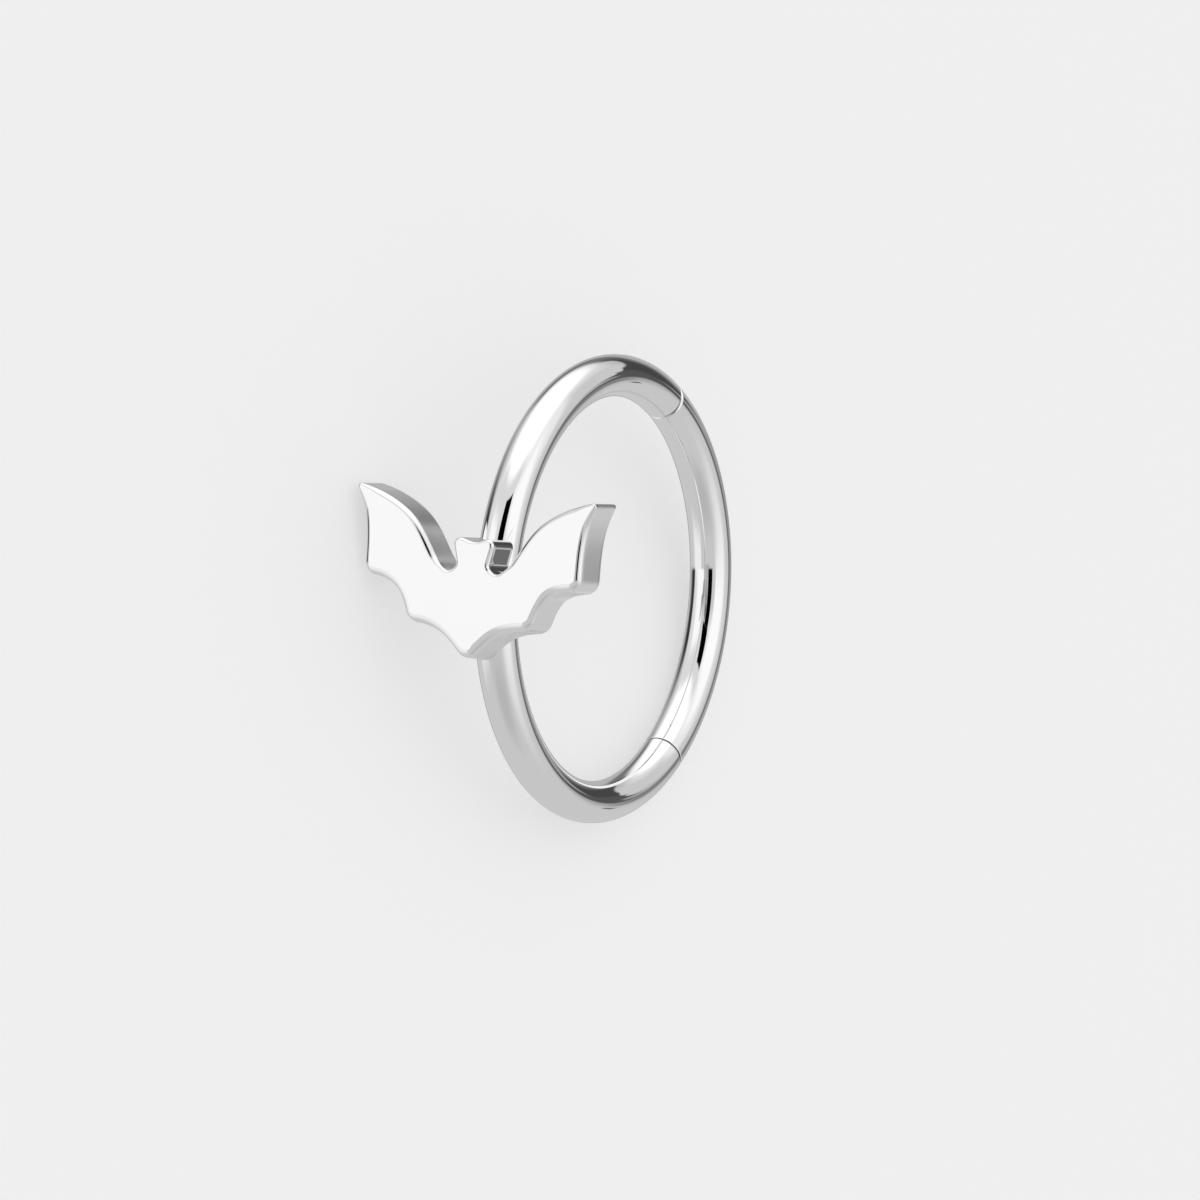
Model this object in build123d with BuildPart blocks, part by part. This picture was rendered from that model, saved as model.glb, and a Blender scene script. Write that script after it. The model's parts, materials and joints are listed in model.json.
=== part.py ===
from build123d import *
from collections import namedtuple
from math import cos, degrees, hypot, pi, radians, sin
import os

# Sizes in millimetres and angles in degrees.
# The ring has its own frame: z along its axis, angles counted round it from x,
# and the charm on the -y side. Lying down, the ring leans a little off level.

# Wire ring
wire_diameter = 1.2
inner_diameter = 11.0
catch_angle = 32.3  # the segment's free end meets the hoop here
hinge_angle = 147.25  # the hoop ends here, at the hinge
hinge_gap = 0.07
catch_gap = 0.04
end_round = 0.03

# Hinge
pin_setback = 0.6  # from the hoop's end back to the pin
pin_offset = 0.22  # from the middle of the wire outwards to the pin
pin_diameter = 0.32
pin_reach = 0.40  # how far the blind pin goes past the ring's middle plane
pin_fit = 0.01  # round the pin in the hoop
pin_play = 0.025  # round the pin in the tongue
tongue_thickness = 0.40
tongue_radius = 0.36
side_play = 0.03
slot_play = 0.05

# Catch
nub_radius = 0.25
nub_height = 0.10
nub_play = 0.03

# Charm, a flat plate with rounded edges
charm_half_span = 4.10
charm_height = 4.77
charm_thickness = 1.20
charm_proud = 1.47  # from the middle of the wire to the charm's front
charm_tail_drop = 2.035  # from the charm's middle line down to its tail
charm_angle = 264.0  # where the charm sits round the ring
charm_roll = -1.2  # the charm's turn on its seat
front_round = 0.17
back_round = 0.05
tip_round = 0.18
corner_round = 0.22
tail_round = 0.20

ring_radius = (inner_diameter + wire_diameter) / 2
wire_radius = wire_diameter / 2
charm_back = ring_radius + charm_proud - charm_thickness

# Half of the charm's outline: how far across and up each point lies, as shares of the half span and
# of the height above the tail, and the headings in degrees at which the outline comes in and goes on
Point = namedtuple("Point", "across up comes goes")
charm_shape = {
    "head_dip": Point(0.0, 0.706, 0, 0),
    "head_swell": Point(0.090, 0.723, 0, 0),
    "head_ear": Point(0.172, 0.730, 0, -104),
    "neck": Point(0.128, 0.580, -104, -104),
    "notch": Point(0.190, 0.526, 0, 0),
    "wing_root": Point(0.252, 0.553, 40, 40),
    "wing_rise": Point(0.340, 0.648, 52, 52),
    "wing_bend": Point(0.480, 0.811, 45, 45),
    "wing_top": Point(0.700, 0.932, 17, 17),
    "tip": Point(0.992, 1.0, 7, -119),
    "edge": Point(0.883, 0.833, -108, -108),
    "outer_corner": Point(0.852, 0.463, -92, -178),
    "scallop": Point(0.595, 0.402, -145, -145),
    "inner_corner": Point(0.481, 0.208, -112, -178),
    "flank": Point(0.210, 0.155, -155, -155),
    "tail": Point(0.0, 0.0, -142, 0),
}


def charm_point(name):
    return (charm_shape[name].across * charm_half_span, charm_shape[name].up * charm_height - charm_tail_drop)


def charm_curve(*names):
    """Smooth curve through named points of the outline, on their headings at its two ends."""
    headings = (charm_shape[names[0]].goes, charm_shape[names[-1]].comes)
    return Spline(
        *[charm_point(name) for name in names],
        tangents=[(cos(radians(heading)), sin(radians(heading))) for heading in headings],
    )


def corners(sketch, *names):
    """The corners of a mirrored sketch that lie on the named points."""
    spots = [Vector(side * x, y) for x, y in map(charm_point, names) for side in (1, -1)]
    return [c for c in sketch.vertices() if any((Vector(c.X, c.Y) - spot).length < 1e-4 for spot in spots)]


# The charm's outline, seen from the front
with BuildSketch() as outline:
    with BuildLine():
        Line(charm_point("tail"), charm_point("head_dip"))
        charm_curve("head_dip", "head_swell", "head_ear")
        Line(charm_point("head_ear"), charm_point("neck"))
        charm_curve("neck", "notch", "wing_root")
        charm_curve("wing_root", "wing_rise", "wing_bend", "wing_top", "tip")
        charm_curve("tip", "edge", "outer_corner")
        charm_curve("outer_corner", "scallop", "inner_corner")
        charm_curve("inner_corner", "flank", "tail")
    make_face()
    mirror(about=Plane.YZ)
    fillet(corners(outline, "tip", "head_ear"), tip_round)
    fillet(corners(outline, "outer_corner", "inner_corner"), corner_round)
    fillet(corners(outline, "tail"), tail_round)

outline_points = [edge @ (i / 20) for edge in outline.edges() for i in range(20)]

# Directions in the ring's frame: charm_out away from the ring, charm_across and charm_up in the plate
turn = radians(charm_roll)
charm_out = Vector(cos(radians(charm_angle)), sin(radians(charm_angle)), 0)
charm_side = Vector(0, 0, 1)
charm_rise = charm_out.cross(charm_side)
charm_across = charm_side * cos(turn) + charm_rise * sin(turn)
charm_up = charm_rise * cos(turn) - charm_side * sin(turn)

# Centre of mass of the wire and the charm together
charm_middle = outline.sketch.center()
charm_volume = outline.sketch.area * charm_thickness
wire_volume = pi * wire_radius**2 * 2 * pi * ring_radius
balance = (
    charm_out * (charm_back + charm_thickness / 2) + charm_across * charm_middle.X + charm_up * charm_middle.Y
) * (charm_volume / (charm_volume + wire_volume))


def charm_reach(direction, depth, edge_round):
    """How far one rounded rim of the charm reaches along a direction."""
    across, up = direction.dot(charm_across), direction.dot(charm_up)
    furthest = max(point.X * across + point.Y * up for point in outline_points)
    return furthest + direction.dot(charm_out) * depth + edge_round * (1 - hypot(across, up))


def wire_reach(direction):
    """How far the wire ring reaches along a direction."""
    return ring_radius * hypot(direction.X, direction.Y) + wire_radius


def straight_up(touch_angle):
    """Up, in the ring's frame, with the wire on the floor at an angle round it and a wing on the floor too."""
    least, most = 0, 45
    for _ in range(25):
        lean = radians((least + most) / 2)
        up = Vector(-sin(lean) * cos(radians(touch_angle)), -sin(lean) * sin(radians(touch_angle)), cos(lean))
        if charm_reach(up * -1, charm_back + back_round, back_round) > wire_reach(up * -1):
            least = degrees(lean)
        else:
            most = degrees(lean)
    return up


def balance_height(touch_angle):
    up = straight_up(touch_angle)
    return wire_reach(up * -1) + up.dot(balance)


# The ring rests where its centre of mass is lowest, on the tip of a wing and the far side of the wire
touch_angle = min((half_degrees / 2 for half_degrees in range(50, 140)), key=balance_height)
above = straight_up(touch_angle)
behind = (Vector(0, 1, 0) - above * above.Y).normalized()
beside = behind.cross(above)
front_reach = charm_reach(behind * -1, charm_back + charm_thickness - front_round, front_round)
ring_plane = Plane(
    origin=(0, (front_reach - wire_reach(behind)) / 2, wire_reach(above * -1)),
    x_dir=(beside.X, behind.X, above.X),
    z_dir=(beside.Z, behind.Z, above.Z),
)
ring_axis = Axis(ring_plane.origin, ring_plane.z_dir)
print("ring leans", round(above.get_angle(Vector(0, 0, 1)), 2), "degrees and touches down at", touch_angle)


def in_world(direction):
    """A direction of the ring's frame, as it lies."""
    return ring_plane.x_dir * direction.X + ring_plane.y_dir * direction.Y + ring_plane.z_dir * direction.Z


def outward(angle):
    return in_world(Vector(cos(radians(angle)), sin(radians(angle)), 0))


def section_plane(angle):
    """Plane across the wire, with x away from the ring's centre and z along the wire."""
    return Plane(
        origin=ring_plane.origin + outward(angle) * ring_radius,
        x_dir=outward(angle),
        z_dir=outward(angle + 90),
    )


def arc_degrees(length):
    return degrees(length / ring_radius)


# Flat in the ring's plane at the hinge, with x outwards and y back into the hoop
hinge_plane = Plane(
    origin=ring_plane.origin + outward(hinge_angle) * ring_radius,
    x_dir=outward(hinge_angle),
    z_dir=ring_plane.z_dir,
)
charm_plane = Plane(
    origin=ring_plane.origin + in_world(charm_out) * charm_back,
    x_dir=in_world(charm_across),
    z_dir=in_world(charm_out),
)
charm_axis = Axis(charm_plane.origin, charm_plane.z_dir)
nub_place = section_plane(catch_angle).offset(catch_gap + nub_radius - nub_height)
slot_radius = tongue_radius + slot_play
clear_of_wire = wire_diameter

# Plate of the charm, cast in one with the hoop
with BuildPart() as charm:
    with BuildSketch(charm_plane):
        add(outline.sketch)
    extrude(amount=charm_thickness)
    fillet(charm.faces().filter_by(charm_plane).sort_by(charm_axis)[-1].edges(), front_round)
    fillet(charm.faces().filter_by(charm_plane).sort_by(charm_axis)[0].edges(), back_round)

with BuildPart() as hoop:
    with BuildSketch(section_plane(hinge_angle)):
        Circle(wire_radius)
    revolve(axis=ring_axis, revolution_arc=360 - (hinge_angle - catch_angle))
    fillet(hoop.edges().filter_by(GeomType.CIRCLE).filter_by(lambda e: e.radius < wire_diameter), end_round)
    # Slot for the tongue, open outwards and at the hoop's end
    with BuildSketch(hinge_plane):
        with Locations((pin_offset, pin_setback)):
            Circle(slot_radius)
            Rectangle(clear_of_wire, slot_radius, align=(Align.MIN, Align.MIN))
        with Locations((pin_offset - slot_radius, pin_setback)):
            Rectangle(clear_of_wire + slot_radius, 2 * pin_setback, align=(Align.MIN, Align.MAX))
    extrude(amount=tongue_thickness / 2 + side_play, both=True, mode=Mode.SUBTRACT)
    # The ears' outer corners are rounded about the pin, so the segment can swing past them
    with BuildSketch(hinge_plane):
        with Locations((pin_offset, pin_setback)):
            Rectangle(clear_of_wire, 2 * pin_setback, align=(Align.MIN, Align.MAX))
            Circle(pin_setback, mode=Mode.SUBTRACT)
    extrude(amount=wire_diameter, both=True, mode=Mode.SUBTRACT)
    # Blind hole for the pin, drilled from the underside
    with BuildSketch(hinge_plane.offset(pin_reach + pin_fit)):
        with Locations((pin_offset, pin_setback)):
            Circle(pin_diameter / 2 + pin_fit)
    extrude(amount=-wire_diameter - pin_reach, mode=Mode.SUBTRACT)
    # Dimple that the segment's nub snaps into
    with Locations(nub_place):
        Sphere(nub_radius + nub_play, mode=Mode.SUBTRACT)
    add(charm.part)

# Tongue of the segment, trimmed to the wire
with BuildPart() as tongue:
    with BuildSketch(hinge_plane):
        with Locations((pin_offset, pin_setback)):
            Circle(tongue_radius)
            Rectangle(2 * tongue_radius, pin_setback + hinge_gap + wire_radius, align=(Align.CENTER, Align.MAX))
    extrude(amount=tongue_thickness / 2, both=True)
    with BuildSketch(section_plane(hinge_angle)):
        Circle(wire_radius)
    revolve(axis=ring_axis, mode=Mode.INTERSECT)

with BuildPart() as hinged_segment:
    with BuildSketch(section_plane(catch_angle + arc_degrees(catch_gap))):
        Circle(wire_radius)
    revolve(axis=ring_axis, revolution_arc=hinge_angle - catch_angle - arc_degrees(hinge_gap + catch_gap))
    fillet(hinged_segment.edges().filter_by(GeomType.CIRCLE).filter_by(lambda e: e.radius < wire_diameter), end_round)
    add(tongue.part)
    with BuildSketch(hinge_plane):
        with Locations((pin_offset, pin_setback)):
            Circle(pin_diameter / 2 + pin_play)
    extrude(amount=tongue_thickness, both=True, mode=Mode.SUBTRACT)
    with Locations(nub_place):
        Sphere(nub_radius)

# Blind pin, ground flush with the wire on the underside
with BuildPart() as hinge_pin:
    with BuildSketch(hinge_plane.offset(pin_reach)):
        with Locations((pin_offset, pin_setback)):
            Circle(pin_diameter / 2)
    extrude(amount=-wire_diameter - pin_reach)
    with BuildSketch(section_plane(hinge_angle)):
        Circle(wire_radius)
    revolve(axis=ring_axis, mode=Mode.INTERSECT)

hoop.part.label = "hoop"
hinged_segment.part.label = "hinged_segment"
hinge_pin.part.label = "hinge_pin"

os.makedirs("parts", exist_ok=True)
export_step(hoop.part, "parts/hoop.step")
export_step(hinged_segment.part, "parts/hinged_segment.step")
export_step(hinge_pin.part, "parts/hinge_pin.step")
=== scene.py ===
import bmesh
import bpy
import json
import math
import numpy as np
from mathutils import Matrix, Vector


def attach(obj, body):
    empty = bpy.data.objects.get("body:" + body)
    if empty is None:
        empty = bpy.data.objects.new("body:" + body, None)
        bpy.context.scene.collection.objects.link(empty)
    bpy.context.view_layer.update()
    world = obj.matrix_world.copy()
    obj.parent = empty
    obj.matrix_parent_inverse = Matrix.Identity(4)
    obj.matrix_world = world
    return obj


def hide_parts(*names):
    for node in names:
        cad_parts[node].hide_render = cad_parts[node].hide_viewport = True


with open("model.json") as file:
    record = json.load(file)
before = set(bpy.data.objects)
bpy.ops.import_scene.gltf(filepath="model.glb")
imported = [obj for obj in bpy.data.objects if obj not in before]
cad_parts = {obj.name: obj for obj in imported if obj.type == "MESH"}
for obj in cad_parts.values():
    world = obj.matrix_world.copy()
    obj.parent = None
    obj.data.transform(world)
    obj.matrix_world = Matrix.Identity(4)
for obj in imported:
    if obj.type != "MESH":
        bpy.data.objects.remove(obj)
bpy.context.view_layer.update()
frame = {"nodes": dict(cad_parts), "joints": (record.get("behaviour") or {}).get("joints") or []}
print("frame loaded:", ", ".join(sorted(frame["nodes"])))


# Nodes as plain expressions

class Signal:
    # one socket of a node tree; an expression on signals adds its Math nodes
    def __init__(self, board, socket):
        self.board, self.socket = board, socket

    def __add__(self, other):
        return self.board.math("ADD", self, other)

    def __sub__(self, other):
        return self.board.math("SUBTRACT", self, other)

    def __rsub__(self, other):
        return self.board.math("SUBTRACT", other, self)

    def __mul__(self, other):
        return self.board.math("MULTIPLY", self, other)

    __radd__ = __add__
    __rmul__ = __mul__

    def between(self, low, high):
        # 0 below low, 1 above high, smooth in between
        ends = {"Value": self, "From Min": low, "From Max": high}
        return self.board.node("ShaderNodeMapRange", {"interpolation_type": "SMOOTHSTEP"}, ends)


class Board:
    # a node tree that is being wired
    def __init__(self, tree):
        self.tree = tree

    def node(self, kind, settings, inputs, out=0):
        made = self.tree.nodes.new(kind)
        for name, value in settings.items():
            setattr(made, name, value)
        for name, value in inputs.items():
            if isinstance(value, Signal):
                self.tree.links.new(value.socket, made.inputs[name])
            else:
                made.inputs[name].default_value = value
        return Signal(self, made.outputs[out])

    def math(self, operation, *inputs):
        return self.node("ShaderNodeMath", {"operation": operation}, dict(enumerate(inputs)))


# The ring's own frame: z along its axis, x towards the catch side, lengths in millimetres

wire = {
    "midRadius": 6.1,
    "wireRadius": 0.6,
    "catchAngle": 32.3,
    "hingeAngle": 147.25,
    "hingeGap": 0.07,
    "catchGap": 0.04,
    "endRound": 0.03,
    "hingeEndRound": 0.12,
    "roundSteps": 6,
    "insideFrom": 0.9,
    "degreesPerSection": 0.7,
    "sides": 128,
    "creaseAngle": 30,
}
hinge = {
    "setback": 0.6,
    "offset": 0.22,
    "holeRadius": 0.17,
    "tongueHoleRadius": 0.185,
    "pinReach": 0.41,
    "tongueThickness": 0.4,
    "tongueRadius": 0.36,
    "tongueInset": 0.012,
    "slotRadius": 0.41,
    "slotHeight": 0.46,
    "pinRadius": 0.16,
    "pinTop": 0.4,
    "pinRound": 0.012,
    "pinRoundSteps": 3,
    "pinCrease": 40,
    "clear": 1.2,
    "trimDegrees": 15,
    "slotSteps": 12,
    "earSteps": 24,
    "holeSteps": 48,
    "pinSteps": 64,
}
catch = {
    "nubRadius": 0.25,
    "nubHeight": 0.1,
    "nubPlay": 0.03,
    "sectors": 64,
    "rows": 32,
}
millimetre = 0.001

joint = frame["joints"][0]
ringAxis = Vector(joint["axis"]).normalized()
ringBack = Vector((0, ringAxis.z, -ringAxis.y)).normalized()
ringSide = ringBack.cross(ringAxis)


def aroundRing(angle):
    return Vector((math.cos(math.radians(angle)), math.sin(math.radians(angle)), 0))


def ringToWorld(direction):
    return ringSide * direction.x + ringBack * direction.y + ringAxis * direction.z


pinPlace = aroundRing(wire["hingeAngle"]) * (wire["midRadius"] + hinge["offset"])
pinPlace += aroundRing(wire["hingeAngle"] + 90) * hinge["setback"]
ringMiddle = Vector(joint["pos_m"]) - ringToWorld(pinPlace) * millimetre
ringPlace = Matrix((
    *[(*[axis[i] * millimetre for axis in (ringSide, ringBack, ringAxis)], ringMiddle[i]) for i in range(3)],
    (0, 0, 0, 1),
))


# Camera at the photo's angle: its up is the ring's -x, so the ring stands upright in the picture. Angles are in
# degrees in the ring's frame, and distance, right and up are in radii of the wire's middle line

view = {
    "roundRing": 261.83,
    "aboveRing": 29.953,
    "distance": 48.49,
    "right": 0.02361,
    "up": 0.05255,
    "lens": 311.1,
    "sensor": 36,
    "nearest": 0.01,
}
toCamera = aroundRing(view["roundRing"]) * math.cos(math.radians(view["aboveRing"]))
toCamera.z = math.sin(math.radians(view["aboveRing"]))
standing = {  # the ring as it stands in the picture
    "up": Vector((-1, 0, 0)),
    "front": Vector((0, -0.8639, 0.5037)),
    "right": Vector((0, 0.5037, 0.8639)),
}
cameraUp = (standing["up"] + toCamera * toCamera.x).normalized()
cameraRight = cameraUp.cross(toCamera)
cameraSpot = toCamera * view["distance"] - cameraRight * view["right"] - cameraUp * view["up"]
cameraSpot *= wire["midRadius"]
camera = bpy.data.objects.new("camera", bpy.data.cameras.new("camera"))
turned = [ringToWorld(axis) for axis in (cameraRight, cameraUp, toCamera)]
camera.matrix_world = Matrix.Translation(ringPlace @ cameraSpot) @ Matrix(turned).transposed().to_4x4()
camera.data.lens = view["lens"]
camera.data.sensor_width = view["sensor"]
camera.data.clip_start = view["nearest"]
bpy.context.scene.collection.objects.link(camera)
bpy.context.scene.camera = camera


# Making meshes

def addObject(name, mesh=None):
    made = bpy.data.objects.new(name, mesh or bpy.data.meshes.new(name))
    bpy.context.scene.collection.objects.link(made)
    return made


def settle(piece):
    # the piece's modifiers become its mesh
    bpy.context.view_layer.update()
    solved = bpy.data.meshes.new_from_object(piece.evaluated_get(bpy.context.evaluated_depsgraph_get()))
    piece.modifiers.clear()
    piece.data = solved
    return piece


def cut(piece, other, operation="DIFFERENCE"):
    change = piece.modifiers.new("cut", "BOOLEAN")
    change.operation = operation
    change.solver = "EXACT"
    change.object = other
    settle(piece)
    bpy.data.objects.remove(other)
    return piece


def solidFrom(name, points, faces):
    mesh = bpy.data.meshes.new(name)
    mesh.from_pydata([tuple(point) for point in points], [], faces)
    mesh.update()
    return addObject(name, mesh)


def wireArcNodes():
    tree = bpy.data.node_groups.new("wireArc", "GeometryNodeTree")
    for name, kind, value in (
        ("Ring Radius", "NodeSocketFloat", 5.6),
        ("Wire Radius", "NodeSocketFloat", 0.6),
        ("Start", "NodeSocketFloat", 0.0),
        ("Sweep", "NodeSocketFloat", 1.0),
        ("Sections", "NodeSocketInt", 64),
        ("Sides", "NodeSocketInt", 32),
        ("Finish", "NodeSocketMaterial", None),
    ):
        socket = tree.interface.new_socket(name, in_out="INPUT", socket_type=kind)
        if value is not None:
            socket.default_value = value
    tree.interface.new_socket("Geometry", in_out="OUTPUT", socket_type="NodeSocketGeometry")
    board = Board(tree)
    value = {socket.name: Signal(board, socket) for socket in tree.nodes.new("NodeGroupInput").outputs if socket.name}
    path = board.node("GeometryNodeCurveArc", {"mode": "RADIUS"}, {
        "Resolution": value["Sections"],
        "Radius": value["Ring Radius"],
        "Start Angle": value["Start"],
        "Sweep Angle": value["Sweep"],
    })
    section = board.node("GeometryNodeCurvePrimitiveCircle", {"mode": "RADIUS"}, {
        "Resolution": value["Sides"],
        "Radius": value["Wire Radius"],
    })
    tube = board.node("GeometryNodeCurveToMesh", {}, {"Curve": path, "Profile Curve": section, "Fill Caps": True})
    plain = board.node("GeometryNodeRealizeInstances", {}, {"Geometry": tube})
    finished = board.node("GeometryNodeSetMaterial", {}, {"Geometry": plain, "Material": value["Finish"]})
    tree.links.new(finished.socket, tree.nodes.new("NodeGroupOutput").inputs["Geometry"])
    return tree


def wireArc(name, start, end, wireRadius, rounds=()):
    # a stretch of the round wire between two angles, with the rounding of its two ends if they show
    piece = addObject(name)
    nodes = piece.modifiers.new("wire", "NODES")
    nodes.node_group = arcNodes
    values = {
        "Ring Radius": wire["midRadius"],
        "Wire Radius": wireRadius,
        "Start": math.radians(start),
        "Sweep": math.radians(end - start),
        "Sections": round(abs(end - start) / wire["degreesPerSection"]),
        "Sides": wire["sides"],
        "Finish": metal,
    }
    for socket in arcNodes.interface.items_tree:
        if socket.name in values:
            nodes[socket.identifier] = values[socket.name]
    settle(piece)
    if rounds:
        roundEnds(piece, {start: rounds[0], end: rounds[1]})
    return piece


def roundEnds(piece, rounds):
    # rounds gives a radius for each end's angle, and the edges' bevel weights carry it
    mesh = piece.data
    edgeNumbers = {edge.key: edge.index for edge in mesh.edges}
    weights = mesh.attributes.new("bevel_weight_edge", "FLOAT", "EDGE").data
    for cap in (face for face in mesh.polygons if len(face.vertices) > 4):
        end = min(rounds, key=lambda angle: (cap.center - aroundRing(angle) * wire["midRadius"]).length)
        for key in cap.edge_keys:
            weights[edgeNumbers[key]].value = rounds[end] / max(rounds.values())
    bevel = piece.modifiers.new("ends", "BEVEL")
    bevel.limit_method = "WEIGHT"
    bevel.width = max(rounds.values())
    bevel.segments = wire["roundSteps"]
    settle(piece)
    spare = piece.data.attributes.get("bevel_weight_edge")
    if spare:
        piece.data.attributes.remove(spare)


def placesOf(items, field):
    # where a mesh's points ("co") or faces ("center") are, one row each
    spots = np.empty(len(items) * 3)
    items.foreach_get(field, spots)
    return spots.reshape(-1, 3)


def underSurface(spots):
    # how deep each spot lies under the wire's surface
    return wire["wireRadius"] - np.hypot(np.hypot(spots[:, 0], spots[:, 1]) - wire["midRadius"], spots[:, 2])


def mark(piece, name, domain, values):
    # an attribute that the material reads
    piece.data.attributes.new(name, "FLOAT", domain).data.foreach_set("value", np.asarray(values, float))


def upright(name, profile, low, high):
    # a prism along the ring's axis, its profile given from the pin: outwards, and back into the hoop
    outwards, backwards = aroundRing(wire["hingeAngle"]), aroundRing(wire["hingeAngle"] + 90)
    flat = [pinPlace + outwards * x + backwards * y for x, y in profile]
    count = len(flat)
    points = [p + Vector((0, 0, z)) for z in (low, high) for p in flat]
    sides = [(i, (i + 1) % count, (i + 1) % count + count, i + count) for i in range(count)]
    return solidFrom(name, points, [tuple(range(count))[::-1], tuple(range(count, 2 * count)), *sides])


def arcPoints(radius, start, end, steps):
    turns = [math.radians(start + (end - start) * i / steps) for i in range(steps + 1)]
    return [(radius * math.cos(turn), radius * math.sin(turn)) for turn in turns]


def circlePoints(radius, steps):
    return arcPoints(radius, 0, 360, steps)[:-1]


def ball(name, middle, radius):
    piece = addObject(name)
    made = bmesh.new()
    bmesh.ops.create_uvsphere(made, u_segments=catch["sectors"], v_segments=catch["rows"], radius=radius)
    bmesh.ops.translate(made, vec=middle, verts=made.verts)
    made.to_mesh(piece.data)
    made.free()
    return piece


# The charm: a plain bat silhouette. Its outline is built for one half and mirrored

charm = {
    "halfSpan": 4.10,
    "height": 4.77,
    "tailDrop": 2.035,
    "thickness": 1.20,
    "proud": 1.47,
    "angle": 264.0,
    "roll": -1.2,
    "edgeRadius": 0.17,
    "sideEdge": 0.19,
    "softTurn": 1.8,
    "softFrom": 0.5,
    "faceRadius": 0.75,
    "faceTilt": 32,
    "leftTurn": 2,
    "slimEdge": 0.72,
    "headEdge": 0.6,
    "headReach": 1.0,
    "faceMargin": 1.03,
    "backRound": 0.07,
    "tipRound": 0.09,
    "headRound": 0.2,
    "outerRound": 0.4,
    "innerRound": 0.46,
    "tailRound": 0.36,
    "flare": 0.085,
    "spacing": 0.03,
    "fineness": 8,
    "wallSteps": 9,
    "faceSteps": 8,
    "wallRows": 8,
    "backRows": 6,
    "edgeBlend": 12,
    "headBlend": 6,
    "widthBlend": 4,
    "roomBlend": 2,
    "roomShare": 0.75,
    "roomSpread": 90,
}
charmPoints = {  # shares of the half span and of the height above the tail, and the headings there and from there
    "headDip": (0.0, 0.706, 0, 0),
    "headSwell": (0.090, 0.723, 0, 0),
    "headEar": (0.172, 0.730, 0, -104),
    "neck": (0.128, 0.580, -104, -104),
    "notch": (0.190, 0.526, 0, 0),
    "wingRoot": (0.252, 0.553, 40, 40),
    "wingRise": (0.340, 0.648, 52, 52),
    "wingBend": (0.480, 0.811, 45, 45),
    "wingTop": (0.700, 0.932, 17, 17),
    "tip": (0.9595, 0.994, 7, -119),
    "edge": (0.883, 0.833, -108, -108),
    "outerCorner": (0.852, 0.463, -92, -178),
    "scallop": (0.595, 0.402, -145, -145),
    "innerCorner": (0.481, 0.208, -112, -178),
    "flank": (0.210, 0.155, -155, -155),
    "tail": (0.0, 0.0, -142, 0),
}
charmCurves = (
    ("headDip", "headSwell", "headEar"),
    ("headEar", "neck"),
    ("neck", "notch", "wingRoot"),
    ("wingRoot", "wingRise", "wingBend", "wingTop", "tip"),
    ("tip", "edge", "outerCorner"),
    ("outerCorner", "scallop", "innerCorner"),
    ("innerCorner", "flank", "tail"),
)


def smoothCurve(points, startHeading, endHeading, spacing):
    # cubic through the points, with no jump in curvature, leaving and arriving on the headings
    points = np.array(points, float)
    steps = np.linalg.norm(np.diff(points, axis=0), axis=1)
    ends = [np.array((math.cos(math.radians(h)), math.sin(math.radians(h)))) for h in (startHeading, endHeading)]
    count = len(points)
    system, right = np.zeros((count, count)), np.zeros((count, 2))
    system[0, 0] = system[-1, -1] = 1
    right[0], right[-1] = ends
    for i in range(1, count - 1):
        before, after = steps[i - 1], steps[i]
        system[i, i - 1:i + 2] = after, 2 * (before + after), before
        right[i] = 3 * (after / before * (points[i] - points[i - 1]) + before / after * (points[i + 1] - points[i]))
    slopes = np.linalg.solve(system, right)
    found = []
    for i, step in enumerate(steps):
        share = np.linspace(0, 1, max(3, round(step / spacing)) + 1)[:-1, None]
        found.append(
            (1 + 2 * share) * (1 - share) ** 2 * points[i] + share * (1 - share) ** 2 * step * slopes[i]
            + share ** 2 * (3 - 2 * share) * points[i + 1] + share ** 2 * (share - 1) * step * slopes[i + 1]
        )
    return np.concatenate([*found, points[-1:]])


def charmSpot(name):
    across, up = charmPoints[name][:2]
    return (across * charm["halfSpan"], up * charm["height"] - charm["tailDrop"])


def roundCorner(before, after, radius, spacing):
    # trims two stretches of the clockwise outline that meet in a corner, and joins them with an arc
    def moved(line):
        along = np.gradient(line, axis=0)
        along /= np.linalg.norm(along, axis=1)[:, None]
        return line + np.stack([along[:, 1], -along[:, 0]], 1) * radius

    a, b = moved(before), moved(after)
    gaps = np.linalg.norm(a[:, None] - b[None], axis=2)
    i, j = np.unravel_index(gaps.argmin(), gaps.shape)
    middle = (a[i] + b[j]) / 2
    start, end = before[i] - middle, after[j] - middle
    low, high = math.atan2(start[1], start[0]), math.atan2(end[1], end[0])
    sweep = (high - low + math.pi) % (2 * math.pi) - math.pi
    turns = low + sweep * np.linspace(0, 1, max(6, round(abs(sweep) * radius / spacing * 2)) + 1)
    arc = middle + radius * np.stack([np.cos(turns), np.sin(turns)], 1)
    return before[:i], arc, after[j + 1:]


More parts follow.
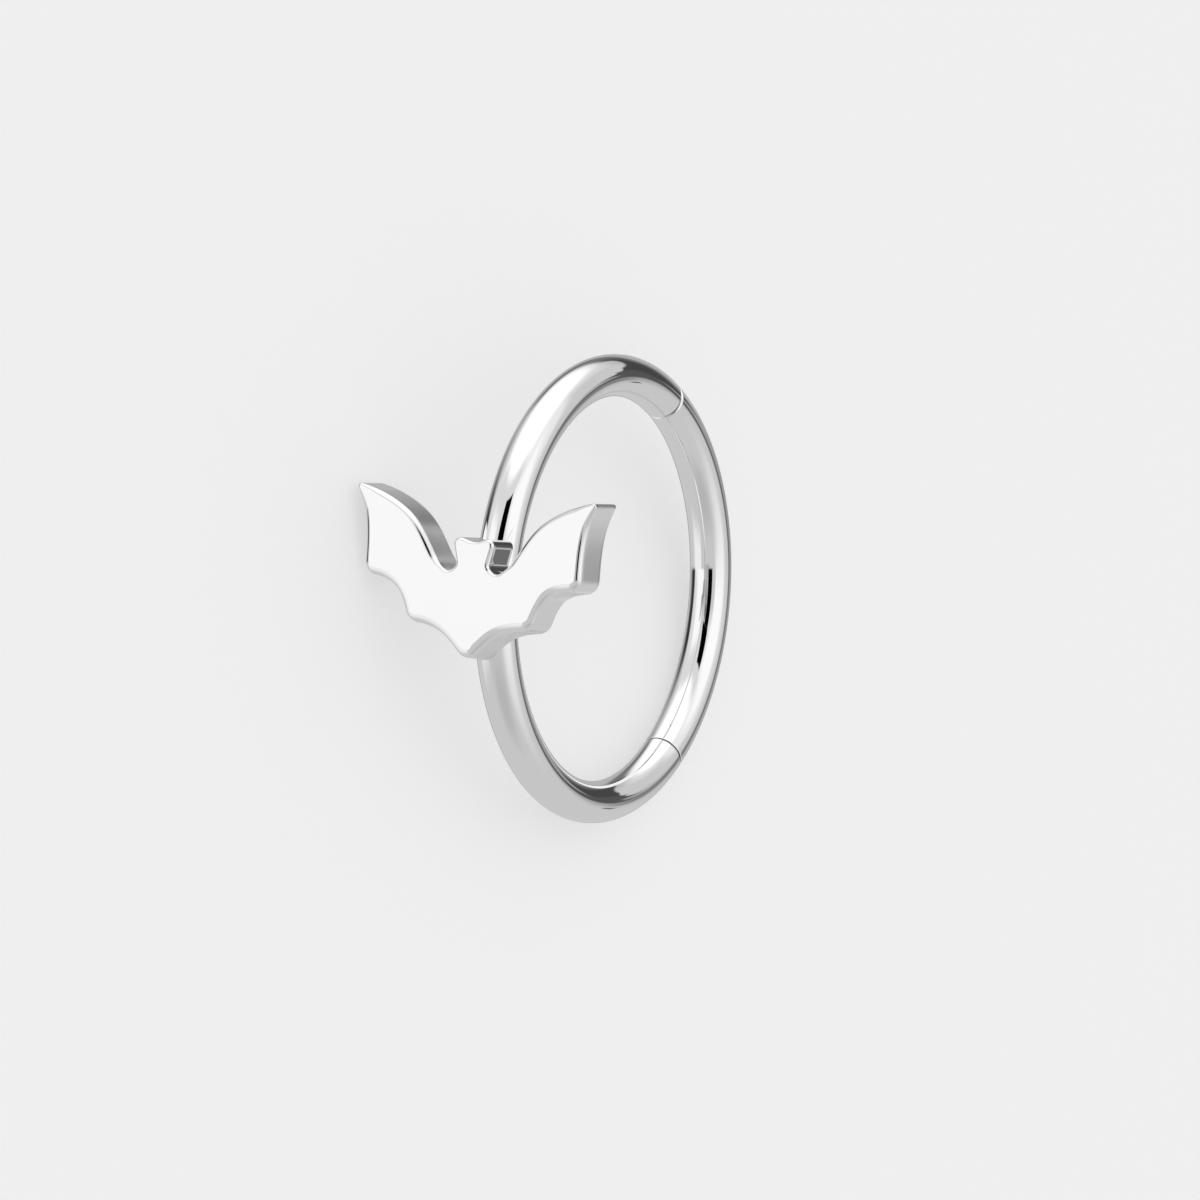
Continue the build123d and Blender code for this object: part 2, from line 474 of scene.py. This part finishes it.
def charmOutline():
    fine = charm["spacing"] / charm["fineness"]
    curves = []
    for names in charmCurves:
        headings = charmPoints[names[0]][3], charmPoints[names[-1]][2]
        spots = np.array([charmSpot(name) for name in names])
        if len(names) == 2:
            share = np.linspace(0, 1, round(math.dist(*spots) / fine))[:, None]
            curves.append(spots[0] * (1 - share) + spots[1] * share)
        else:
            curves.append(smoothCurve(spots, *headings, fine))
    mirrored = curves[-1][::-1] * (-1, 1)
    rounds = {"headEar": "headRound", "tip": "tipRound", "outerCorner": "outerRound", "innerCorner": "innerRound"}
    line = curves[0]
    for names, curve in zip(charmCurves[1:], curves[1:]):
        if names[0] in rounds:
            line = np.concatenate(roundCorner(line, curve, charm[rounds[names[0]]], fine))
        else:
            line = np.concatenate([line, curve[1:]])
    trimmed, arc, rest = roundCorner(line, mirrored, charm["tailRound"], fine)
    half = np.concatenate([trimmed, arc[: len(arc) // 2 + 1]])
    half[-1, 0] = 0
    return evenly(np.concatenate([half, half[-2:0:-1] * (-1, 1)]), charm["spacing"])


def evenly(loop, spacing):
    # the closed line again, with points at even distances, the mirrored half the same as the first
    closed = np.concatenate([loop, loop[:1]])
    along = np.concatenate([[0], np.cumsum(np.linalg.norm(np.diff(closed, axis=0), axis=1))])
    count = 2 * round(along[-1] / spacing / 2)
    spots = np.linspace(0, along[-1], count, endpoint=False)
    return np.stack([np.interp(spots, along, closed[:, k]) for k in (0, 1)], 1)


def edgeProfile(edgeRadius, faceRadius):
    # from the wall to the face: how far in from the outline, and how deep under the face
    tilt = charm["faceTilt"]
    steps = np.concatenate([
        np.linspace(90, tilt, charm["wallSteps"] + 1), np.linspace(tilt, 0, charm["faceSteps"] + 1)[1:],
    ])
    tilts = np.radians(steps)
    bend = np.clip((tilt - steps) / tilt, 0, 1)
    radius = edgeRadius + (faceRadius - edgeRadius) * bend
    turned = -np.diff(tilts) * (radius[1:] + radius[:-1]) / 2
    middles = (tilts[1:] + tilts[:-1]) / 2
    inset = np.concatenate([[0], np.cumsum(turned * np.cos(middles))])
    drop = np.concatenate([[0], np.cumsum(turned * np.sin(middles))])
    return inset, drop[-1] - drop


def softened(values, reach):
    # the mean over the neighbours of each point of the closed line
    return sum(np.roll(values, k) for k in range(-reach, reach + 1)) / (2 * reach + 1)


def charmSolid(name):
    line = charmOutline()
    along = np.roll(line, -1, 0) - np.roll(line, 1, 0)
    along /= np.linalg.norm(along, axis=1)[:, None]
    inwards = np.stack([along[:, 1], -along[:, 0]], 1)  # the outline runs clockwise, seen from the front
    # the edge rolls softly into the face below and is crisp at the sides and on top, and it is slimmer where the
    # outline turns tighter than the edge is wide
    soft = edgeProfile(charm["edgeRadius"], charm["faceRadius"])
    crisp = edgeProfile(charm["sideEdge"], charm["sideEdge"])
    below = np.clip(inwards[:, 1] * charm["softTurn"] - charm["softFrom"], 0, 1)
    below = softened(below, charm["edgeBlend"])[:, None]
    insets, drops = (a * below + b * (1 - below) for a, b in zip(soft, crisp))
    after = np.roll(along, -1, 0)
    turn = along[:, 1] * after[:, 0] - along[:, 0] * after[:, 1]
    room = charm["roomShare"] * charm["spacing"] / np.maximum(turn, 1e-3) / insets[:, -1]
    for _ in range(charm["roomSpread"]):
        room = np.minimum(room, np.minimum(np.roll(room, 1), np.roll(room, -1)) + charm["spacing"])
    left = softened(np.clip(inwards[:, 0] * charm["leftTurn"], 0, 1), charm["edgeBlend"])
    width = 1 - (1 - charm["slimEdge"]) * left * below[:, 0]
    head = (np.abs(line[:, 0]) < charm["headReach"]) & (line[:, 1] > 0)
    width = np.where(softened(head.astype(float), charm["headBlend"]) > 0, np.minimum(width, charm["headEdge"]), width)
    width = softened(np.minimum(softened(width, charm["widthBlend"]), room), charm["roomBlend"])
    back = wire["midRadius"] + charm["proud"] - charm["thickness"]
    front = back + charm["thickness"]
    # rings round the charm from the face to the back: how far in from the outline, and how far out from the ring
    rings = [(insets[:, -1] * width * charm["faceMargin"], front + 0 * width)]
    rings += [(inset * width, front - drop * width) for inset, drop in zip(insets.T[::-1], drops.T[::-1])]
    foot, rows = back + charm["backRound"], charm["wallRows"]
    rings += [(0 * width, rings[-1][1] * (1 - i / rows) + foot * i / rows) for i in range(1, rows + 1)]
    for i in range(1, charm["backRows"] + 1):
        turned = math.radians(90 * i / charm["backRows"])
        inset = charm["backRound"] * (1 - math.cos(turned))
        rings.append((inset + 0 * width, foot - charm["backRound"] * math.sin(turned) + 0 * width))
    out = aroundRing(charm["angle"])
    roll = math.radians(charm["roll"])
    side = Vector((0, 0, 1))
    rise = out.cross(side)
    across, up = side * math.cos(roll) + rise * math.sin(roll), rise * math.cos(roll) - side * math.sin(roll)
    points = []
    for inset, depth in rings:
        flat = line + inwards * inset[:, None]
        low = 1 - (line[:, 1] + charm["tailDrop"]) / charm["height"]
        flare = charm["flare"] * low * (front - depth) / charm["thickness"]
        points += [across * x + up * (y - down) + out * z for (x, y), down, z in zip(flat, flare, depth)]
    count = len(line)
    faces = []
    for k in range(len(rings) - 1):
        for i in range(count):
            j = (i + 1) % count
            faces.append((k * count + i, k * count + j, (k + 1) * count + j, (k + 1) * count + i))
    faces.append(tuple(range(count))[::-1])
    faces.append(tuple(range((len(rings) - 1) * count, len(rings) * count)))
    return solidFrom(name, points, faces)


# Finishes

metalFinish = {
    "tone": 0.93,
    "toneChange": 0.012,
    "blue": 0.004,
    "roughness": 0.035,
    "smears": 0.03,
    "sideRoughness": 0.23,
    "jointTone": 0.6,
    "jointRoughness": 0.2,
    "smearScale": 420,
    "smearDetail": 4,
    "smearTwist": 0.6,
    "smearEdges": (0.45, 0.75),
    "grainScale": 26000,
    "grainDetail": 2,
    "grainEdges": (0.3, 0.7),
    "grainDepth": 6e-8,
    "waveScale": 900,
    "waveDetail": 1,
    "waveDepth": 9e-7,
}
pinFinish = {
    "tone": 0.86,
    "toneChange": 0.03,
    "blue": 0.006,
    "roughness": 0.1,
    "turning": 0.06,
    "scuffScale": 9000,
    "scuffDetail": 3,
    "scuffEdges": (0.4, 0.7),
    "linesPerMetre": 90000,
    "lineDepth": 2e-7,
}


def metalShader(name):
    material = bpy.data.materials.new(name)
    material.use_nodes = True
    board = Board(material.node_tree)
    shader = material.node_tree.nodes["Principled BSDF"]
    shader.inputs["Metallic"].default_value = 1
    return material, board, shader


def feed(board, shader, tone, blue, rough, bump):
    colour = board.node("ShaderNodeCombineColor", {}, {"Red": tone, "Green": tone, "Blue": tone + blue})
    for name, signal in {"Base Color": colour, "Roughness": rough, "Normal": bump}.items():
        board.tree.links.new(signal.socket, shader.inputs[name])


def polishedMetal(name):
    # a mirror polish with faint smears and the slight waves that a polishing wheel leaves; the charm's sides are
    # satin, and the faces inside the hinge and the catch are darker, as unpolished metal
    material, board, shader = metalShader(name)
    spot = board.node("ShaderNodeTexCoord", {}, {}, out="Object")
    smear, grain, wave = (
        board.node("ShaderNodeTexNoise", {}, {
            "Vector": spot, "Scale": metalFinish[kind + "Scale"], "Detail": metalFinish[kind + "Detail"],
            "Distortion": metalFinish.get(kind + "Twist", 0),
        })
        for kind in ("smear", "grain", "wave")
    )
    dull = smear.between(*metalFinish["smearEdges"])
    joint, side = (
        board.node("ShaderNodeAttribute", {"attribute_name": place}, {}, out="Fac") for place in ("joint", "side")
    )
    tone = metalFinish["tone"] - dull * metalFinish["toneChange"] - joint * metalFinish["jointTone"]
    rough = (
        metalFinish["roughness"] + dull * metalFinish["smears"] * grain.between(*metalFinish["grainEdges"])
        + side * metalFinish["sideRoughness"] + joint * metalFinish["jointRoughness"]
    )
    waved = board.node("ShaderNodeBump", {}, {"Strength": 1, "Distance": metalFinish["waveDepth"], "Height": wave})
    fine = board.node("ShaderNodeBump", {}, {
        "Strength": 1, "Distance": metalFinish["grainDepth"], "Height": grain, "Normal": waved,
    })
    feed(board, shader, tone, metalFinish["blue"], rough, fine)
    return material


def turnedMetal(name, middle):
    # the pin's end, ground flush: fine rings round its axis
    material, board, shader = metalShader(name)
    spot = board.node("ShaderNodeTexCoord", {}, {}, out="Object")
    fromPin = board.node("ShaderNodeVectorMath", {"operation": "SUBTRACT"}, {0: spot, 1: middle})
    along = board.node("ShaderNodeVectorMath", {"operation": "DOT_PRODUCT"}, {0: fromPin, 1: ringAxis}, out="Value")
    reach = board.node("ShaderNodeVectorMath", {"operation": "LENGTH"}, {0: fromPin}, out="Value")
    radius = board.math("SQRT", board.math("MAXIMUM", reach * reach - along * along, 0))
    rings = board.math("SINE", radius * pinFinish["linesPerMetre"]) * 0.5 + 0.5
    scuff = board.node("ShaderNodeTexNoise", {}, {
        "Vector": spot, "Scale": pinFinish["scuffScale"], "Detail": pinFinish["scuffDetail"],
    }).between(*pinFinish["scuffEdges"])
    tone = pinFinish["tone"] - scuff * pinFinish["toneChange"]
    rough = pinFinish["roughness"] + rings * scuff * pinFinish["turning"]
    lined = board.node("ShaderNodeBump", {}, {"Strength": 1, "Distance": pinFinish["lineDepth"], "Height": rings})
    feed(board, shader, tone, pinFinish["blue"], rough, lined)
    return material


arcNodes = wireArcNodes()
metal = polishedMetal("polishedMetal")
pinMetal = turnedMetal("pinMetal", Vector(joint["pos_m"]))
clear = hinge["clear"]

# Hoop with its charm

nubMiddle = aroundRing(wire["catchAngle"]) * wire["midRadius"]
nubMiddle += aroundRing(wire["catchAngle"] + 90) * (wire["catchGap"] + catch["nubRadius"] - catch["nubHeight"])
ends = wire["hingeAngle"], wire["catchAngle"] + 360
hoop = wireArc("hoop_polished", *ends, wire["wireRadius"], (wire["endRound"], wire["endRound"]))
slotProfile = [(-hinge["slotRadius"], -clear), *arcPoints(hinge["slotRadius"], 180, 90, hinge["slotSteps"])]
slotProfile += [(clear, hinge["slotRadius"]), (clear, -clear)]
cut(hoop, upright("slot", slotProfile[::-1], -hinge["slotHeight"] / 2, hinge["slotHeight"] / 2))
earProfile = [*arcPoints(hinge["setback"], 0, -90, hinge["earSteps"]), (0, -clear), (clear, -clear), (clear, 0)]
cut(hoop, upright("ears", earProfile, -clear, clear))
cut(hoop, upright("pinHole", circlePoints(hinge["holeRadius"], hinge["holeSteps"]), -clear, hinge["pinReach"]))
cut(hoop, ball("dimple", nubMiddle, catch["nubRadius"] + catch["nubPlay"]))
cut(hoop, charmSolid("charm"), "UNION")

satin = {  # where the charm's sides are satin, in millimetres from its face, its middle and the wire
    "offWire": 0.01,
    "offBack": 0.05,
    "edgeShare": 0.6,
    "edgeFade": 0.05,
    "wingTop": 2.64,
    "wingTopFade": 0.08,
    "notchAcross": 0.68,
    "notchReach": 0.28,
    "notchAbove": 0.3,
}
spots = placesOf(hoop.data.vertices, "co")
depth = wire["midRadius"] + charm["proud"] - spots @ np.array(aroundRing(charm["angle"]))
up = spots @ np.array(aroundRing(charm["angle"] - 90))
onSide = (underSurface(spots) < -satin["offWire"]) & (depth < charm["thickness"] - satin["offBack"])
behindEdge = np.clip((depth - charm["sideEdge"] * satin["edgeShare"]) / satin["edgeFade"], 0, 1)
underTop = np.clip((satin["wingTop"] - up) / satin["wingTopFade"], 0, 1)
# the notch right of the head stays polished, a guess from how sharply it mirrors in the photo
inNotch = (up > satin["notchAbove"]) & (np.abs(spots[:, 2] - satin["notchAcross"]) < satin["notchReach"])
mark(hoop, "side", "POINT", behindEdge * underTop * onSide * ~inNotch)
inside = underSurface(placesOf(hoop.data.polygons, "center"))
mark(hoop, "joint", "FACE", inside > wire["endRound"] * wire["insideFrom"])
print("hoop made:", len(hoop.data.vertices), "points")

# Segment with the hinge's tongue and the catch's nub

segmentStart = wire["catchAngle"] + math.degrees(wire["catchGap"] / wire["midRadius"])
segmentEnd = wire["hingeAngle"] - math.degrees(wire["hingeGap"] / wire["midRadius"])
ends = segmentStart, segmentEnd
segment = wireArc("segment_polished", *ends, wire["wireRadius"], (wire["endRound"], wire["hingeEndRound"]))
tongueLength = hinge["setback"] + wire["hingeGap"] + wire["wireRadius"]
tongueProfile = arcPoints(hinge["tongueRadius"], 0, 180, hinge["holeSteps"])
tongueProfile += [(-hinge["tongueRadius"], -tongueLength), (hinge["tongueRadius"], -tongueLength)]
tongue = upright("tongue", tongueProfile, -hinge["tongueThickness"] / 2, hinge["tongueThickness"] / 2)
ends = segmentEnd - hinge["trimDegrees"], wire["hingeAngle"] + hinge["trimDegrees"]
cut(tongue, wireArc("tongueTrim", *ends, wire["wireRadius"] - hinge["tongueInset"]), "INTERSECT")
cut(segment, tongue, "UNION")
cut(segment, upright("tongueHole", circlePoints(hinge["tongueHoleRadius"], hinge["holeSteps"]), -clear, clear))
cut(segment, ball("nub", nubMiddle, catch["nubRadius"]), "UNION")
spots = placesOf(segment.data.polygons, "center")
nearestRound = np.where(spots[:, 0] > 0, wire["endRound"], wire["hingeEndRound"])
mark(segment, "joint", "FACE", underSurface(spots) > nearestRound * wire["insideFrom"])
print("segment made:", len(segment.data.vertices), "points")

# Pin, ground flush with the wire on the underside

pin = upright("pin_polished", circlePoints(hinge["pinRadius"], hinge["pinSteps"]), -clear, hinge["pinTop"])
ends = wire["hingeAngle"], wire["hingeAngle"] + hinge["trimDegrees"]
cut(pin, wireArc("pinTrim", *ends, wire["wireRadius"]), "INTERSECT")
bevel = pin.modifiers.new("edge", "BEVEL")
bevel.limit_method = "ANGLE"
bevel.angle_limit = math.radians(hinge["pinCrease"])
bevel.width = hinge["pinRound"]
bevel.segments = hinge["pinRoundSteps"]
settle(pin)
print("pin made:", len(pin.data.vertices), "points")

for piece, body, node, finish, slot in (
    (hoop, "hoop", "hoop", metal, "polished_metal"),
    (segment, "segment", "hinged_segment", metal, "polished_metal"),
    (pin, "hoop", "hinge_pin", pinMetal, "pin_metal"),
):
    piece.data.transform(ringPlace)
    piece.data.materials.clear()
    piece.data.materials.append(finish)
    piece.data.polygons.foreach_set("use_smooth", [True] * len(piece.data.polygons))
    piece.data.set_sharp_from_angle(angle=math.radians(wire["creaseAngle"]))
    even = piece.modifiers.new("even", "WEIGHTED_NORMAL")
    even.keep_sharp = True
    settle(piece)
    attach(piece, body)
    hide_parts(node)
    print("finished", piece.name)

# Studio: what the polished metal mirrors. Angles are degrees round from the front and up from the horizon of the
# ring as it stands in the picture. A card has the grey that the metal shows, the place where it hangs, and the
# stretches over which its edges fade, left and right counted from its place. Its top may slope, and its sides may
# lean from a height on. Later cards hang in front of earlier ones

studio = {
    "walls": 197,
    "backdrop": 239,
    "skylight": 0.63,
    "floorTone": 0.82,
    "floorGlow": 0.35,
    "floorRoughness": 0.9,
    "floorReach": 3,
}
cards = {
    "brightFloor": {"grey": 224, "at": 62, "left": (-42, -6), "right": (6, 42),
        "bottom": (-46, -18), "top": (-12, 8)},
    "dimFloor": {"grey": 180, "at": 0, "left": (-60, -10), "right": (10, 60),
        "bottom": (-80, -50), "top": (-42, -16)},
    "lowGlow": {"grey": 236, "at": -72, "left": (-40, -20), "right": (13, 22),
        "bottom": (-38, -14), "top": (-4, 4)},
    "wall": {"grey": 216, "at": 0, "bottom": (-9, 1)},
    "rightHaze": {"grey": 232, "at": 60, "left": (-55, -35), "right": (32, 42), "bottom": (6, 18)},
    "rightWall": {"grey": 199, "at": 116, "left": (-22, -11), "right": (20, 40),
        "bottom": (-10, 0), "top": (28, 42)},
    "leftCard": {"grey": 248, "at": -58, "left": (-27, -13), "right": (13, 27),
        "bottom": (-7.6, -6), "top": (28, 42)},
    "rightCard": {"grey": 251, "at": 53, "left": (-36, -18), "right": (18, 36),
        "bottom": (-26, 6), "top": (30, 46)},
    "leftStrip": {"grey": 171, "at": -22, "left": (-17, -11), "right": (11, 17),
        "bottom": (-11, -8), "top": (8, 28)},
    "rightStrip": {"grey": 198, "at": 16, "left": (-15, -7), "right": (6, 14), "bottom": (-10, -6), "top": (6, 24)},
    "rearSkirting": {"grey": 152, "at": 160, "left": (-50, -40), "right": (40, 55),
        "bottom": (-26, -6), "top": (-2, 8)},
    "rearWall": {"grey": 176, "at": 180, "left": (-52, -36), "right": (60, 82), "bottom": (0, 8), "top": (26, 46)},
    "skirtingLine": {"grey": 124, "at": 123, "left": (-4, -1), "right": (5, 16),
        "bottom": (-18, -13), "top": (-6, -1)},
    "rearArch": {"grey": 115, "at": 172, "left": (-26, -18), "right": (30, 44),
        "bottom": (19, 28), "top": (34, 45)},
    "rearFlag": {"grey": 68, "at": 140, "left": (-21.3, -20.1), "right": (-5, 18),
        "bottom": (-0.5, 2.5), "top": (25.5, 28.5), "slope": 0.58, "lean": -0.55, "leanFrom": 8},
    "flagHeel": {"grey": 82, "at": 121, "left": (-2.9, -1.9), "right": (2.5, 6),
        "bottom": (-10, -6), "top": (8, 13)},
    "leftFlag": {"grey": 45, "at": -108, "left": (-48, -4), "right": (5, 17),
        "bottom": (-7.5, -6), "top": (15, 32), "lean": 0.3, "leanFrom": -6},
    "headShade": {"grey": 104, "at": 122.7, "left": (-2, -1.3), "right": (1.3, 2),
        "bottom": (-23.8, -23.1), "top": (-20.6, -19.9)},
    "softbox": {"grey": 262, "at": 180, "bottom": (40, 56)},
    "frontShade": {"grey": 215, "at": -25, "left": (-75, -50), "right": (50, 85),
        "bottom": (40, 44), "top": (49, 61)},
    "flagFoot": {"grey": 2, "at": -2, "left": (-12.5, -9.5), "right": (10, 12.5),
        "bottom": (-8, -6.5), "top": (22, 26)},
    "flagHead": {"grey": 2, "at": -5, "left": (-17, -14), "right": (17, 20),
        "bottom": (20, 24), "top": (43.4, 44.8), "lean": -0.5, "leanFrom": 28, "slope": -0.08},
}


def brightness(grey):
    # a grey of 0 to 255 in the picture, taken back through the screen's curve
    share = grey / 255
    return share / 12.92 if share < 0.04045 else ((share + 0.055) / 1.055) ** 2.4


def mirroredAs(grey):
    return brightness(grey) / metalFinish["tone"]


def cardShare(card, azimuth, elevation):
    # 1 where the card covers what is behind it
    aside = azimuth.board.math("WRAP", azimuth - card["at"], 180, -180)
    turned = aside + (elevation - card["leanFrom"]) * card["lean"] if "lean" in card else aside
    raised = elevation - aside * card["slope"] if "slope" in card else elevation
    shares = []
    if "left" in card:
        shares.append(turned.between(*card["left"]))
    if "right" in card:
        shares.append(1 - turned.between(*card["right"]))
    if "bottom" in card:
        shares.append(elevation.between(*card["bottom"]))
    if "top" in card:
        shares.append(1 - raised.between(*card["top"]))
    return math.prod(shares[1:], start=shares[0])


def studioWorld(name):
    world = bpy.data.worlds.new(name)
    world.use_nodes = True
    board = Board(world.node_tree)
    gaze = board.node("ShaderNodeTexCoord", {}, {}, out="Generated")
    toRight, toFront, toTop = (
        board.node("ShaderNodeVectorMath", {"operation": "DOT_PRODUCT"}, {0: gaze, 1: ringToWorld(axis)}, out="Value")
        for axis in (standing["right"], standing["front"], standing["up"])
    )
    azimuth = board.math("ARCTAN2", toRight, toFront) * math.degrees(1)
    elevation = board.math("ARCSINE", toTop) * math.degrees(1)
    level = mirroredAs(studio["walls"])
    for card in cards.values():
        share = cardShare(card, azimuth, elevation)
        level = level * (1 - share) + share * mirroredAs(card["grey"])
    isCamera = board.node("ShaderNodeLightPath", {}, {}, out="Is Camera Ray")
    isGlossy = board.node("ShaderNodeLightPath", {}, {}, out="Is Glossy Ray")
    skylight = studio["skylight"]
    seen = skylight + isCamera * (brightness(studio["backdrop"]) - skylight)
    white = (1, 1, 1, 1)
    plain = board.node("ShaderNodeBackground", {}, {"Color": white, "Strength": seen})
    mirrored = board.node("ShaderNodeBackground", {}, {"Color": white, "Strength": level})
    shown = board.node("ShaderNodeMixShader", {}, {0: isGlossy, 1: plain, 2: mirrored})
    nodes = world.node_tree.nodes
    world.node_tree.links.new(shown.socket, nodes["World Output"].inputs["Surface"])
    nodes.remove(nodes["Background"])
    return world


bpy.context.scene.world = studioWorld("studio")
bpy.context.scene.view_settings.view_transform = "Standard"
print("studio hung:", len(cards), "cards")

# Floor, which the metal doesn't mirror: in the picture the ring stands, and the floor is behind it

reach = studio["floorReach"]
corners = [(-reach, -reach, 0), (reach, -reach, 0), (reach, reach, 0), (-reach, reach, 0)]
floor = solidFrom("floor", corners, [(0, 1, 2, 3)])
floorPaint = bpy.data.materials.new("floorPaint")
floorPaint.use_nodes = True
paint = floorPaint.node_tree.nodes["Principled BSDF"].inputs
paint["Base Color"].default_value = (*[studio["floorTone"]] * 3, 1)
paint["Emission Color"].default_value = (1, 1, 1, 1)
paint["Emission Strength"].default_value = studio["floorGlow"]
floorPaint.cycles.emission_sampling = "NONE"
paint["Roughness"].default_value = studio["floorRoughness"]
paint["Specular IOR Level"].default_value = 0
floor.data.materials.append(floorPaint)
floor.visible_glossy = False
